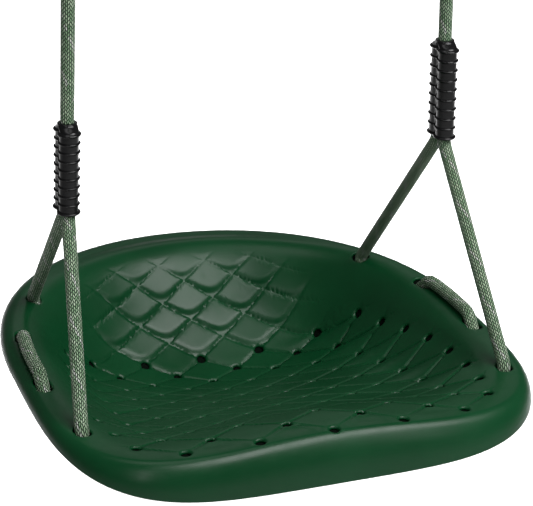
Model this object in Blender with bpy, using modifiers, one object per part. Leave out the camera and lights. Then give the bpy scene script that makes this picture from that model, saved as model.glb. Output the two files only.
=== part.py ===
"""Saucer nest swing: a moulded dished seat hung on two ropes.

Frame: metres, +Z up, +X to the sitter's left-right axis (right in the front
view), -Y the front edge of the seat. The origin is midway between the tops of
the two quick links, where the swing hangs from its beam.

Each rope runs down from its quick link, through a ribbed sleeve, down the
front leg, in and out of four slots in the rim, and up the back leg into the
sleeve again.
"""
import math

import bmesh
import bpy
from mathutils import Matrix, Vector

# ---------------------------------------------------------------- dimensions
HANG_DROP = 0.615          # hanging points down to the rim plane of the seat
SEAT_SHIFT_Y = 0.010       # rim plane centre behind the hanging points

# seat outline: a superellipse, squarer in front than behind
SEAT_HALF_WIDTH = 0.2796
WIDEST_Y = 0.0142
BACK_REACH = 0.3513
BACK_EXPONENT = 2.05
FRONT_REACH = 0.2867
FRONT_EXPONENT = 4.22
BOWL_CENTRE_Y = 0.070
SHELL = 0.0065             # wall thickness

# bowl: a floor that falls to the rear meets a steep back wall
FLOOR_Z = -0.1357          # where the floor's and the wall's slopes are measured from
FLOOR_Y = 0.140
FLOOR_SLOPE = 0.415
WALL_Y = 0.180
WALL_SLOPE = 1.253
VALLEY_WIDTH = 0.060       # rounding where they meet
SIDE_CURL = 5.74           # the floor curls up towards its sides, more so to the rear
SIDE_CURL_Y = -0.079
SIDE_WALL = 0.073
SIDE_WALL_POWER = 8.4
RIM_BLEND = 0.64           # the bowl eases into its rim from this fraction outwards

# (side, front, back) values of the rim, blended around the seat
LIP_WIDTH = (0.016, 0.020, 0.035)
CREST_HEIGHT = (0.0053, 0.0050, -0.0088)
EDGE_HEIGHT = (-0.0085, -0.0366, -0.0307)
FRONT_CROWN = 0.0115       # the front edge stands a little higher at its middle

BOWL_RINGS = 15
LIP_RINGS = 6
SEGMENTS = 72

# slots in the rim, front to back, on one side
SLOT_X = (0.244, 0.258, 0.251, 0.212)
SLOT_Y = (-0.157, -0.046, 0.075, 0.182)
SLOT_LENGTH = (0.0235, 0.0330, 0.0330, 0.0235)
SLOT_WIDTH = 0.0180

# rope
ROPE_D = 0.015
ROPE_GAP_OVER = 0.0009     # rope surface to shell where it runs over the rim
ROPE_GAP_UNDER = 0.0020    # and under it, where the wall curves
STRAND = ROPE_D / 2 + 0.0002   # half the pitch of two strands side by side
EYE_RADIUS = 0.020         # rope centre line round the quick link
BITE_LENGTH = 0.034        # run along the rim in which the rope changes side

# ribbed sleeve over the fork of the rope; bottom heights above the rim plane
SLEEVE_BOTTOM_X = 0.2189
SLEEVE_BOTTOM = {"left": 0.1920, "right": 0.2319}
SLEEVE_LENGTH = {"left": 0.0995, "right": 0.1133}
SLEEVE_CORE = (0.0104, 0.0192)      # half width in X, half width in Y
SLEEVE_BORE = (0.0079, 0.0156)
SLEEVE_NECK = 0.0110
MOUTH_RADIUS = 0.0092      # flare that lets the sleeve tilt about the rope's end
SLEEVE_RIBS = 8
RIB_HEIGHT = 0.0016
LIP_HEIGHT = 0.0024
NECK_LENGTH = 0.014
HANG_X = 0.2105            # rope line at the quick links

# seizing sleeve under the rope's top eye
SEIZING_LENGTH = 0.040
SEIZING_TOP = -0.120
SEIZING_WALL = 0.0028

# quick link
WIRE_D = 0.008
LINK_LENGTH = 0.0766
LINK_WIDTH = 0.0364
NUT_ACROSS_FLATS = 0.0124
NUT_LENGTH = 0.024
NUT_TOP = 0.0198           # closed nut's top end above the link's middle
NUT_BORE = 0.0087
GATE_TOP = 0.0130          # ends of the wire on each side of the gate
GATE_BOTTOM = 0.0010

GAP = 0.0004


# ---------------------------------------------------------------- scene setup
def clear_scene():
    for obj in list(bpy.data.objects):
        bpy.data.objects.remove(obj, do_unlink=True)


def make_collection(name):
    coll = bpy.data.collections.new(name)
    bpy.context.scene.collection.children.link(coll)
    return coll


def material(name, colour, roughness, metallic=0.0):
    mat = bpy.data.materials.new(name)
    mat.use_nodes = True
    shader = mat.node_tree.nodes["Principled BSDF"]
    shader.inputs["Base Color"].default_value = (*colour, 1.0)
    shader.inputs["Roughness"].default_value = roughness
    shader.inputs["Metallic"].default_value = metallic
    return mat


clear_scene()
PARTS = make_collection("saucer_nest_swing")
CUTTERS = make_collection("cutters")


def shade(obj, angle=40.0):
    obj.data.shade_smooth()
    obj.data.set_sharp_from_angle(angle=math.radians(angle))


def move_origin(obj, origin):
    """Put the object's origin on its joint without moving its shape."""
    origin = Vector(origin)
    obj.data.transform(Matrix.Translation(-origin))
    obj.matrix_world = Matrix.Translation(origin)


def axis_empty(name, location):
    """An empty standing on a joint's axis; the pieces that turn there ride on it."""
    empty = bpy.data.objects.new(name, None)
    empty.location = location
    empty.empty_display_size = 0.05
    PARTS.objects.link(empty)
    return empty


def ride_on(obj, empty):
    obj.parent = empty
    obj.matrix_parent_inverse = Matrix.Translation(-empty.location)


def link_mesh(name, bm, coll, mat=None):
    mesh = bpy.data.meshes.new(name)
    bm.to_mesh(mesh)
    bm.free()
    obj = bpy.data.objects.new(name, mesh)
    coll.objects.link(obj)
    if mat:
        mesh.materials.append(mat)
    return obj


def make_cutter(obj):
    obj.hide_render = True
    obj.display_type = "WIRE"


def cut(obj, cutter):
    mod = obj.modifiers.new(cutter.name, "BOOLEAN")
    mod.operation = "DIFFERENCE"
    mod.object = cutter


# ---------------------------------------------------------------- seat shape
def around(values, phi):
    """Blend a (side, front, back) triple by the direction round the seat."""
    side, front, back = values
    s = math.sin(phi)
    if s < 0:
        return side + (front - side) * s * s
    return side + (back - side) * s * s


def outline(phi):
    c = math.cos(phi)
    s = math.sin(phi)
    n = BACK_EXPONENT if s >= 0 else FRONT_EXPONENT
    reach = BACK_REACH if s >= 0 else FRONT_REACH
    x = SEAT_HALF_WIDTH * math.copysign(abs(c) ** (2 / n), c)
    y = WIDEST_Y + reach * math.copysign(abs(s) ** (2 / n), s)
    return x, y


def crest_fraction(phi):
    x, y = outline(phi)
    return 1.0 - around(LIP_WIDTH, phi) / math.hypot(x, y - BOWL_CENTRE_Y)


def crest_height(phi):
    height = around(CREST_HEIGHT, phi)
    if math.sin(phi) < 0:
        x = outline(phi)[0] / SEAT_HALF_WIDTH * crest_fraction(phi)
        height += FRONT_CROWN * math.sin(phi) ** 2 * (1 - x * x) ** 4
    return height


def bowl_height(x, y):
    """Height of the bowl itself, before it eases into the rim."""
    floor = FLOOR_Z - FLOOR_SLOPE * (y - FLOOR_Y)
    wall = FLOOR_Z + WALL_SLOPE * (y - WALL_Y)
    valley = (floor + wall + math.hypot(floor - wall, VALLEY_WIDTH)) / 2
    side = SIDE_WALL * abs(x / (SEAT_HALF_WIDTH - LIP_WIDTH[0])) ** SIDE_WALL_POWER
    return valley + SIDE_CURL * (y - SIDE_CURL_Y) * x * x + side


def bowl_point(t, phi):
    """Top surface inside the crest: t runs 0 at the middle to 1 at the crest."""
    x, y = outline(phi)
    k = crest_fraction(phi) * t
    x *= k
    y = BOWL_CENTRE_Y + (y - BOWL_CENTRE_Y) * k
    q = max(0.0, (t - RIM_BLEND) / (1 - RIM_BLEND))
    ease = q * q * (3 - 2 * q)
    return Vector((x, y, (1 - ease) * bowl_height(x, y) + ease * crest_height(phi)))


def lip_point(u, phi):
    """Top surface outside the crest: u runs 0 at the crest to 1 at the edge."""
    x, y = outline(phi)
    kc = crest_fraction(phi)
    k = kc + (1.0 - kc) * math.sin(u * math.pi / 2)
    top = crest_height(phi)
    z = top - (top - around(EDGE_HEIGHT, phi)) * (1.0 - math.cos(u * math.pi / 2))
    return Vector((x * k, BOWL_CENTRE_Y + (y - BOWL_CENTRE_Y) * k, z))


def to_world(point):
    return Vector((point.x, point.y + SEAT_SHIFT_Y, point.z - HANG_DROP))


def seat_height(x, y):
    """Height of the top surface over a plan point, by walking out from the middle."""
    bearing = math.atan2(y - BOWL_CENTRE_Y, x)
    low = bearing - math.pi / 4
    high = bearing + math.pi / 4
    for _ in range(40):
        phi = (low + high) / 2
        ox, oy = outline(phi)
        miss = bearing - math.atan2(oy - BOWL_CENTRE_Y, ox)
        if math.sin(miss) > 0:
            low = phi
        else:
            high = phi
    ox, oy = outline(phi)
    k = math.hypot(x, y - BOWL_CENTRE_Y) / math.hypot(ox, oy - BOWL_CENTRE_Y)
    kc = crest_fraction(phi)
    if k <= kc:
        return bowl_point(k / kc, phi).z
    u = math.asin(min(1.0, (k - kc) / (1.0 - kc))) * 2 / math.pi
    return lip_point(u, phi).z


def build_seat(mat):
    bm = bmesh.new()
    rings = []
    for i in range(1, BOWL_RINGS + 1):
        rings.append([("bowl", i / BOWL_RINGS)] * SEGMENTS)
    for i in range(1, LIP_RINGS + 1):
        rings.append([("lip", i / LIP_RINGS)] * SEGMENTS)
    loops = []
    for ring in rings:
        loop = []
        for j, (kind, value) in enumerate(ring):
            phi = 2 * math.pi * (j + 0.5) / SEGMENTS
            point = bowl_point(value, phi) if kind == "bowl" else lip_point(value, phi)
            loop.append(bm.verts.new(to_world(point)))
        loops.append(loop)
    middle = bm.verts.new(to_world(bowl_point(0.0, 0.0)))
    for j in range(SEGMENTS):
        k = (j + 1) % SEGMENTS
        bm.faces.new((middle, loops[0][j], loops[0][k]))
        for inner, outer in zip(loops, loops[1:]):
            bm.faces.new((inner[j], outer[j], outer[k], inner[k]))
    seat = link_mesh("seat_shell", bm, PARTS, mat)
    solid = seat.modifiers.new("wall", "SOLIDIFY")
    solid.thickness = SHELL
    solid.offset = -1.0
    solid.use_even_offset = True
    return seat


def slot_cutter(name, centre, direction, length):
    """A capsule-shaped punch standing through the rim."""
    bm = bmesh.new()
    half = length / 2 - SLOT_WIDTH / 2
    steps = 8
    ring = []
    for end in (1, -1):
        for i in range(steps + 1):
            a = -math.pi / 2 + math.pi * i / steps
            ring.append((end * (half + SLOT_WIDTH / 2 * math.cos(a)), end * SLOT_WIDTH / 2 * math.sin(a)))
    verts = [bm.verts.new((x, y, -0.03)) for x, y in ring]
    face = bm.faces.new(verts)
    extruded = bmesh.ops.extrude_face_region(bm, geom=[face])
    top = [v for v in extruded["geom"] if isinstance(v, bmesh.types.BMVert)]
    bmesh.ops.translate(bm, verts=top, vec=(0, 0, 0.06))
    bmesh.ops.recalc_face_normals(bm, faces=bm.faces)
    cutter = link_mesh(name, bm, CUTTERS)
    cutter.matrix_world = Matrix.Translation(centre) @ Matrix.Rotation(direction, 4, "Z")
    make_cutter(cutter)
    return cutter


# ---------------------------------------------------------------- rope routes
class RimLine:
    """The smooth line through the slots of one side, measured along the rim."""

    def __init__(self, side):
        self.side = side
        knots = [Vector((x, y, 0.0)) for x, y in zip(SLOT_X, SLOT_Y)]
        knots.insert(0, 2 * knots[0] - knots[1] + Vector((-0.006, 0, 0)))
        knots.append(2 * knots[-1] - knots[-2] + Vector((-0.020, 0, 0)))
        self.points = []
        steps = 24
        for a, b, c, d in zip(knots, knots[1:], knots[2:], knots[3:]):
            for i in range(steps):
                t = i / steps
                self.points.append(0.5 * (2 * b + (c - a) * t + (2 * a - 5 * b + 4 * c - d) * t * t
                                          + (3 * b - a - 3 * c + d) * t ** 3))
        self.points.append(knots[-2])
        self.lengths = [0.0]
        for a, b in zip(self.points, self.points[1:]):
            self.lengths.append(self.lengths[-1] + (b - a).length)
        self.slots = [self.lengths[i * steps] for i in range(len(SLOT_X))]

    def plan(self, s):
        if s <= 0.0:
            step = (self.points[1] - self.points[0]).normalized()
            return self.points[0] + step * s
        if s >= self.lengths[-1]:
            step = (self.points[-1] - self.points[-2]).normalized()
            return self.points[-1] + step * (s - self.lengths[-1])
        i = max(k for k, v in enumerate(self.lengths) if v <= s)
        i = min(i, len(self.points) - 2)
        t = (s - self.lengths[i]) / (self.lengths[i + 1] - self.lengths[i])
        return self.points[i].lerp(self.points[i + 1], t)

    def place(self, s, h):
        """World point at s along the rim, h square to the middle of the shell wall."""
        p = self.plan(s)
        step = 0.001
        slope = math.hypot(seat_height(p.x + step, p.y) - seat_height(p.x - step, p.y),
                           seat_height(p.x, p.y + step) - seat_height(p.x, p.y - step)) / (2 * step)
        z = seat_height(p.x, p.y) + (h - SHELL / 2) * math.hypot(1.0, slope)
        return to_world(Vector((self.side * p.x, p.y, z)))

    def heading(self, s):
        step = self.plan(s + 0.002) - self.plan(s - 0.002)
        return math.atan2(step.y, self.side * step.x)


# rope centre from the middle of the shell wall
OVER = SHELL / 2 + ROPE_D / 2 + ROPE_GAP_OVER
UNDER = SHELL / 2 + ROPE_D / 2 + ROPE_GAP_UNDER


def sleeve_axis_x(side, name, z):
    """The rope line leans in slightly from the sleeve's foot to the quick link."""
    foot = SLEEVE_BOTTOM[name] - HANG_DROP
    top = -LINK_LENGTH
    t = (z - foot) / (top - foot)
    return side * (SLEEVE_BOTTOM_X + (HANG_X - SLEEVE_BOTTOM_X) * min(1.0, t))


def turn(rim, s_centre, direction, lean, steps=7):
    """Rope round the edge of a slot, from leg (first) to under the rim (last).

    direction is +1 where the rope goes on towards larger s."""
    points = []
    for i in range(steps + 1):
        a = lean + (-math.pi / 2 - lean) * i / steps
        radius = OVER + (UNDER - OVER) * max(0.0, -math.sin(a))
        points.append(rim.place(s_centre - direction * radius * math.cos(a), radius * math.sin(a)))
    return points


def bite(rim, s_slot, upward, steps=7):
    """Rope through a slot from one face of the rim to the other."""
    points = []
    for i in range(steps + 1):
        t = i / steps
        rise = (1 - math.cos(math.pi * t)) / 2
        if not upward:
            rise = 1 - rise
        h = -UNDER + (OVER + UNDER) * rise
        points.append(rim.place(s_slot + BITE_LENGTH * (t - 0.5), h))
    return points


def between(rim, s_a, s_b, h, steps):
    return [rim.place(s_a + (s_b - s_a) * i / steps, h) for i in range(1, steps)]


def fillet(a, b, c, radius, steps=4):
    """Points of an arc that rounds the corner b between a and c."""
    u = (a - b).normalized()
    v = (c - b).normalized()
    half = math.acos(max(-1.0, min(1.0, u.dot(v)))) / 2
    if math.pi / 2 - half < 0.01:
        return [b]
    tangent = radius / math.tan(half)
    centre = b + (u + v).normalized() * (radius / math.sin(half))
    start = (b + u * tangent - centre).normalized()
    end = (b + v * tangent - centre).normalized()
    return [centre + start.slerp(end, i / steps) * radius for i in range(steps + 1)]


def route(corners, radii, max_step=0.04):
    """A polyline with rounded corners and evenly divided straight runs."""
    points = [corners[0]]
    for a, b, c, radius in zip(corners, corners[1:], corners[2:], radii):
        points += fillet(a, b, c, radius) if radius else [b]
    points.append(corners[-1])
    return divide(points, max_step)


def divide(points, max_step=0.04):
    out = [points[0]]
    for a, b in zip(points, points[1:]):
        n = max(1, math.ceil((b - a).length / max_step))
        out += [a.lerp(b, i / n) for i in range(1, n + 1)]
    return out


def lower_rope_points(side, name):
    rim = RimLine(side)
    foot = SLEEVE_BOTTOM[name] - HANG_DROP
    top = foot + SLEEVE_LENGTH[name]
    s1, s2, s3, s4 = rim.slots
    front_edge = s1 + SLOT_LENGTH[0] / 2
    back_edge = s4 - SLOT_LENGTH[3] / 2

    def inside(y, z):
        return Vector((sleeve_axis_x(side, name, z), y, z))

    def lean_to(edge):
        corner = rim.place(edge, OVER)
        run = Vector((corner.x - inside(0, foot).x, corner.y, 0)).length
        return math.atan2(run, foot - corner.z)

    front = turn(rim, front_edge, 1, lean_to(front_edge))
    back = turn(rim, back_edge, -1, lean_to(back_edge))
    upper = top - NECK_LENGTH
    head = [inside(0, top - 0.0085), inside(0, upper), inside(-STRAND, top - 0.042),
            inside(-STRAND, foot - 0.006), front[0]]
    down = route(head, [0.03, 0.03, 0.03])
    tail = [inside(STRAND, top - 0.046), inside(STRAND, foot - 0.006), back[0]]
    up = route(tail, [0.03])
    half = BITE_LENGTH / 2
    middle = front[1:]
    middle += between(rim, front_edge, s2 - half, -UNDER, 3)
    middle += bite(rim, s2, True)
    middle += between(rim, s2 + half, s3 - half, OVER, 5)
    middle += bite(rim, s3, False)
    middle += between(rim, s3 + half, back_edge, -UNDER, 4)
    middle += list(reversed(back))[:-1]
    return down + middle + list(reversed(up))


def upper_rope_points(side, name):
    top = SLEEVE_BOTTOM[name] - HANG_DROP + SLEEVE_LENGTH[name]
    x = side * HANG_X
    seizing_foot = SEIZING_TOP - SEIZING_LENGTH
    crown = -LINK_LENGTH + WIRE_D + 0.0024 + ROPE_D / 2
    centre = Vector((x, 0, crown - EYE_RADIUS))
    ring = []
    opening = math.radians(22)
    steps = 11
    for i in range(steps + 1):
        a = -opening + (math.pi + 2 * opening) * i / steps
        ring.append(centre + Vector((0, EYE_RADIUS * math.cos(a), EYE_RADIUS * math.sin(a))))
    tail = [Vector((x, STRAND, seizing_foot + 0.004)), Vector((x, STRAND, SEIZING_TOP - 0.002)), ring[0]]
    stand = [ring[-1], Vector((x, -STRAND, SEIZING_TOP - 0.002)), Vector((x, -STRAND, seizing_foot - 0.002)),
             Vector((sleeve_axis_x(side, name, seizing_foot - 0.024), 0, seizing_foot - 0.024)),
             Vector((sleeve_axis_x(side, name, top), 0, top))]
    return route(tail, [0.03]) + ring[1:-1] + route(stand, [0.03, 0.03, 0.03])


def rope(name, points, mat):
    curve = bpy.data.curves.new(name, "CURVE")
    curve.dimensions = "3D"
    curve.bevel_depth = ROPE_D / 2
    curve.bevel_resolution = 2
    curve.use_fill_caps = True
    curve.twist_mode = "MINIMUM"
    spline = curve.splines.new("POLY")
    spline.points.add(len(points) - 1)
    for slot, point in zip(spline.points, points):
        slot.co = (*point, 1.0)
    obj = bpy.data.objects.new(name, curve)
    PARTS.objects.link(obj)
    curve.materials.append(mat)
    return obj


# ---------------------------------------------------------------- sleeves
def oval(centre, half_x, half_y, count=18):
    """A flat-sided oval: two round strands side by side, wrapped."""
    straight = max(0.0, half_y - half_x)
    ring = []
    for i in range(count):
        a = 2 * math.pi * (i + 0.5) / count
        y = half_x * math.sin(a) + math.copysign(straight, math.sin(a))
        ring.append(Vector((centre.x + half_x * math.cos(a), centre.y + y, centre.z)))
    return ring


def loft_tube(name, outer, inner, mat):
    """A tube from two stacks of rings, outer and inner, both listed top down."""
    bm = bmesh.new()
    stack = [[bm.verts.new(p) for p in ring] for ring in outer + list(reversed(inner))]
    count = len(stack[0])
    for a, b in zip(stack, stack[1:] + stack[:1]):
        for j in range(count):
            k = (j + 1) % count
            bm.faces.new((a[j], b[j], b[k], a[k]))
    bmesh.ops.recalc_face_normals(bm, faces=bm.faces)
    obj = link_mesh(name, bm, PARTS, mat)
    shade(obj)
    return obj


def build_sleeve(side, name, mat):
    foot = SLEEVE_BOTTOM[name] - HANG_DROP
    top = foot + SLEEVE_LENGTH[name]

    def ring(z, half_x, half_y):
        return oval(Vector((sleeve_axis_x(side, name, z), 0, z)), half_x, half_y)

    core_x, core_y = SLEEVE_CORE
    body_top = top - NECK_LENGTH
    outer = [ring(top, SLEEVE_NECK - 0.0006, SLEEVE_NECK - 0.0006), ring(top - 0.001, SLEEVE_NECK, SLEEVE_NECK),
             ring(top - 0.006, SLEEVE_NECK, SLEEVE_NECK), ring(body_top, core_x, core_y)]
    band = (body_top - foot) / (SLEEVE_RIBS + 1)
    for i in range(SLEEVE_RIBS + 2):
        z = body_top - band * i
        height = LIP_HEIGHT if i in (0, SLEEVE_RIBS + 1) else RIB_HEIGHT
        half_band = 0.0021
        if i == 0:
            outer.append(ring(z - 0.0005, core_x + height, core_y + height))
            outer.append(ring(z - 2 * half_band, core_x + height, core_y + height))
            outer.append(ring(z - 2 * half_band - 0.001, core_x, core_y))
        elif i == SLEEVE_RIBS + 1:
            outer.append(ring(z + 2 * half_band + 0.001, core_x, core_y))
            outer.append(ring(z + 2 * half_band, core_x + height, core_y + height))
            outer.append(ring(z + 0.0008, core_x + height, core_y + height))
            outer.append(ring(z, core_x + height - 0.0008, core_y + height - 0.0008))
        else:
            outer.append(ring(z + half_band, core_x, core_y))
            outer.append(ring(z, core_x + height, core_y + height))
            outer.append(ring(z - half_band, core_x, core_y))
    bore_x, bore_y = SLEEVE_BORE
    inner = []
    bowl = ROPE_D / 2 + GAP
    inner.append(ring(top, MOUTH_RADIUS, MOUTH_RADIUS))
    for degrees in (11, 38, 62):
        a = math.radians(degrees)
        inner.append(ring(top - bowl * math.sin(a), bowl * math.cos(a), bowl * math.cos(a)))
    # the socket narrows over the hidden end, then opens for the strands
    neck_z = top - 0.0083
    inner.append(ring(neck_z, bore_x, bore_x))
    inner.append(ring(upper_bore_z(top), bore_x, bore_x))
    inner.append(ring(top - 0.040, bore_x, bore_y))
    inner.append(ring(foot + 0.016, bore_x, bore_y))
    inner.append(ring(foot, bore_x + 0.0008, bore_y + 0.0024))
    return loft_tube("sleeve_" + name, outer, inner, mat)


def upper_bore_z(top):
    return top - 0.012


def build_seizing(side, name, mat):
    x = side * HANG_X
    foot = SEIZING_TOP - SEIZING_LENGTH
    inner_x = ROPE_D / 2 + GAP
    inner_y = ROPE_D + GAP + 0.0002
    rows = [(SEIZING_TOP, 0.0012), (SEIZING_TOP - 0.0015, SEIZING_WALL), (foot + 0.0015, SEIZING_WALL), (foot, 0.0012)]
    outer = [oval(Vector((x, 0, z)), inner_x + wall, inner_y + wall) for z, wall in rows]
    inner = [oval(Vector((x, 0, z)), inner_x, inner_y + flare) for z, flare in
             ((SEIZING_TOP, 0.0012), (SEIZING_TOP - 0.008, 0.0), (foot + 0.008, 0.0), (foot, 0.0008))]
    return loft_tube("eye_seizing_" + name, outer, inner, mat)


# ---------------------------------------------------------------- quick links
def build_link(side, name, mat):
    """An open ring of round wire with a gate on its outer side."""
    radius = (LINK_WIDTH - WIRE_D) / 2
    bend = (LINK_LENGTH - LINK_WIDTH) / 2
    points = [Vector((radius, 0, GATE_TOP)), Vector((radius, 0, bend))]
    steps = 11
    for i in range(1, steps + 1):
        a = math.pi * i / steps
        points.append(Vector((radius * math.cos(a), 0, bend + radius * math.sin(a))))
    for i in range(steps + 1):
        a = math.pi + math.pi * i / steps
        points.append(Vector((radius * math.cos(a), 0, -bend + radius * math.sin(a))))
    points.append(Vector((radius, 0, GATE_BOTTOM)))
    curve = bpy.data.curves.new("link_body_" + name, "CURVE")
    curve.dimensions = "3D"
    curve.bevel_depth = WIRE_D / 2
    curve.bevel_resolution = 3
    curve.use_fill_caps = True
    spline = curve.splines.new("POLY")
    spline.points.add(len(points) - 1)
    for slot, point in zip(spline.points, points):
        slot.co = (side * point.x, point.y, point.z, 1.0)
    obj = bpy.data.objects.new("link_body_" + name, curve)
    obj.location = (side * HANG_X, 0, -LINK_LENGTH / 2)
    curve.materials.append(mat)
    PARTS.objects.link(obj)
    return obj


def build_nut(side, name, mat):
    radius = (LINK_WIDTH - WIRE_D) / 2
    bm = bmesh.new()
    # two of the six flats face along X, so that the rope's eye swings past the inner one
    corner = NUT_ACROSS_FLATS / math.sqrt(3)
    bmesh.ops.create_cone(bm, cap_ends=True, segments=6, radius1=corner, radius2=corner, depth=NUT_LENGTH)
    nut = link_mesh("link_nut_" + name, bm, PARTS, mat)
    nut.location = (side * (HANG_X + radius), 0, -LINK_LENGTH / 2 + NUT_TOP - NUT_LENGTH / 2)
    bevel = nut.modifiers.new("edges", "BEVEL")
    bevel.width = 0.0009
    bevel.segments = 2
    bevel.limit_method = "ANGLE"
    bm = bmesh.new()
    bmesh.ops.create_cone(bm, cap_ends=True, segments=20, radius1=NUT_BORE / 2, radius2=NUT_BORE / 2,
                          depth=NUT_LENGTH * 1.5)
    bore = link_mesh("bore_" + name, bm, CUTTERS)
    bore.location = nut.location
    make_cutter(bore)
    cut(nut, bore)
    shade(nut, 30)
    return nut


# ---------------------------------------------------------------- materials
green = material("seat_green", (0.012, 0.075, 0.030), 0.38)

heights = {name: SLEEVE_BOTTOM[name] - HANG_DROP + SLEEVE_LENGTH[name] for name in SLEEVE_LENGTH}
tops = [Vector((sleeve_axis_x(side, name, heights[name]), 0, heights[name]))
        for side, name in ((-1, "left"), (1, "right"))]
swing_axis = axis_empty("swing_axis", (0, 0, -LINK_LENGTH + WIRE_D / 2))
tilt_axis = axis_empty("tilt_axis", (tops[0] + tops[1]) / 2)

seat = build_seat(green)
for side, name in ((-1, "left"), (1, "right")):
    rim = RimLine(side)
    for index, s in enumerate(rim.slots):
        centre = rim.place(s, 0.0)
        cutter = slot_cutter("slot_%s_%d" % (name, index + 1), centre, rim.heading(s), SLOT_LENGTH[index])
        cut(seat, cutter)
shade(seat, 50)
move_origin(seat, (0.0, SEAT_SHIFT_Y, -HANG_DROP))
ride_on(seat, tilt_axis)

for side, name in ((-1, "left"), (1, "right")):
    fork_mat = material("rope_lower_%s_sage" % name, (0.24, 0.36, 0.22), 0.85)
    hanger_mat = material("rope_upper_%s_sage" % name, (0.24, 0.36, 0.22), 0.85)
    sleeve_mat = material("sleeve_black_" + name, (0.012, 0.012, 0.013), 0.42)
    seizing_mat = material("seizing_black_" + name, (0.014, 0.014, 0.015), 0.5)
    ride_on(rope("rope_fork_" + name, lower_rope_points(side, name), fork_mat), tilt_axis)
    ride_on(build_sleeve(side, name, sleeve_mat), tilt_axis)
    ride_on(rope("rope_hanger_" + name, upper_rope_points(side, name), hanger_mat), swing_axis)
    ride_on(build_seizing(side, name, seizing_mat), swing_axis)
    build_link(side, name, material("link_black_" + name, (0.01, 0.01, 0.011), 0.18, 0.6))
    build_nut(side, name, material("nut_black_" + name, (0.01, 0.01, 0.011), 0.2, 0.6))
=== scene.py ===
import math

import bmesh
import bpy
import numpy as np
from mathutils import Matrix, Vector
from mathutils.geometry import delaunay_2d_cdt


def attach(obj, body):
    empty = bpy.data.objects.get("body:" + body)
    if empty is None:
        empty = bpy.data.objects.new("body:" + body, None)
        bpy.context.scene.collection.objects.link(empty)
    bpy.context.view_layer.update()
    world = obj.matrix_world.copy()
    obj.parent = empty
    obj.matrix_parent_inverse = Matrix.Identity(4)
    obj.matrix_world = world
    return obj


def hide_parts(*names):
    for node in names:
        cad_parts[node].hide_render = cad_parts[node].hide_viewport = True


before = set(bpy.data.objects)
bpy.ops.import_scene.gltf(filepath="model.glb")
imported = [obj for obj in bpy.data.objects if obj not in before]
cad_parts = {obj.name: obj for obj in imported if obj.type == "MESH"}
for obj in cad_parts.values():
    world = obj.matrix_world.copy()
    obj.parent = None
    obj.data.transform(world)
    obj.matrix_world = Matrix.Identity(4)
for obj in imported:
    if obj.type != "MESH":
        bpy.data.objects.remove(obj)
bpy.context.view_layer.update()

# A saucer nest swing: a quilted plastic seat hung on two braided ropes, each with a ribbed rubber
# sleeve above its fork, a bound eye at its top and a screw-gate quick link.

# ---------------------------------------------------------------- seat dimensions, as in the CAD
HANG_DROP = 0.615          # from the links' tops down to the level that seat heights are measured from
SEAT_SHIFT_Y = 0.010       # and how far behind the links the seat's own middle is
SEAT_HALF_WIDTH = 0.2796
WIDEST_Y = 0.0142
BACK_REACH, BACK_EXPONENT = 0.3513, 2.05
FRONT_REACH, FRONT_EXPONENT = 0.2867, 4.22
BOWL_CENTRE_Y = 0.070
SHELL = 0.0065
FLOOR_Z, FLOOR_Y, FLOOR_SLOPE = -0.1357, 0.140, 0.415
WALL_Y, WALL_SLOPE, VALLEY_WIDTH = 0.180, 1.253, 0.060
SIDE_CURL, SIDE_CURL_Y = 5.74, -0.079
SIDE_WALL, SIDE_WALL_POWER = 0.073, 8.4
RIM_BLEND = 0.64
LIP_WIDTH = (0.016, 0.020, 0.035)             # at the side, the front and the back, like the next two
CREST_HEIGHT = (0.0053, 0.0050, -0.0088)
EDGE_HEIGHT = (-0.0085, -0.0366, -0.0307)
FRONT_CROWN = 0.0115
SLOT_X = (0.244, 0.258, 0.251, 0.212)
SLOT_Y = (-0.157, -0.046, 0.075, 0.182)
SLOT_LENGTH = (0.0235, 0.0330, 0.0330, 0.0235)
SLOT_WIDTH = 0.0180
SLOT_LINE_ENDS = (-0.006, -0.020)             # how far the line through the slots turns in past them
ROPE_D = 0.015
ROPE_GAP_OVER, ROPE_GAP_UNDER = 0.0002, 0.0020   # over the rim the rope rests, 0.7 mm closer than in the CAD
STRAND = ROPE_D / 2 + 0.0002                  # half the distance between two strands side by side
ROPE_BEND = 0.03
EYE_RADIUS, EYE_GAP, EYE_OPENING = 0.020, 0.0024, 22
BITE_LENGTH = 0.034
SLEEVE_BOTTOM_X = 0.2189
SLEEVE_BOTTOM = {"left": 0.1920, "right": 0.2319}
SLEEVE_LENGTH = {"left": 0.0995, "right": 0.1133}
NECK_LENGTH = 0.014        # how far the strands run as one below the sleeve's mouth
HANG_X = 0.2105
SEIZING_LENGTH, SEIZING_TOP = 0.040, -0.120
WIRE_D, LINK_LENGTH = 0.008, 0.0766

# lattice of the quilted bowl: u counts half cells to the right, v half cells to the front
# each is a polynomial in v, with further terms in powers of u
LATTICE_X = (0.034768, 0.014443, -0.001966, -0.002383, -5.9e-05, -1.2e-05)
LATTICE_Y = (0.218996, -0.179181, -0.083343, -0.021722, 0.050547, -0.014872, -0.001362, 8.7e-05, 0.000657)
HOLE_RADIUS = 0.0050
EDGE_HOLE_RADIUS = 0.0056
FIRST_HOLE_ROW, LAST_HOLE_ROW, HOLE_COLUMNS = 2, 18, 5
GROOVE_WIDTH = 0.045       # as a fraction of a cell's side
FLOOR_GROOVE = 0.0019
FLOOR_FACET, WALL_FACET = 0.9, 0.30
WALL_FROM, WALL_TO = 3.4, 0.6
WALL_SIDE_FADE, FLOOR_SIDE_FADE = (5.0, 2.8), (5.4, 4.9)
BACK_FADE, FRONT_FADE = (-3.9, -0.9), (18.1, 17.0)
SCALE_DEPTH = 0.0036       # the wall's cells overlap like scales
SCALE_SLOPE, SCALE_RIM = 0.78, 0.22
SCALE_SINK = 0.65
SCALE_POWER = 4.8
SCALE_SHOULDER = 0.80

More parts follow.
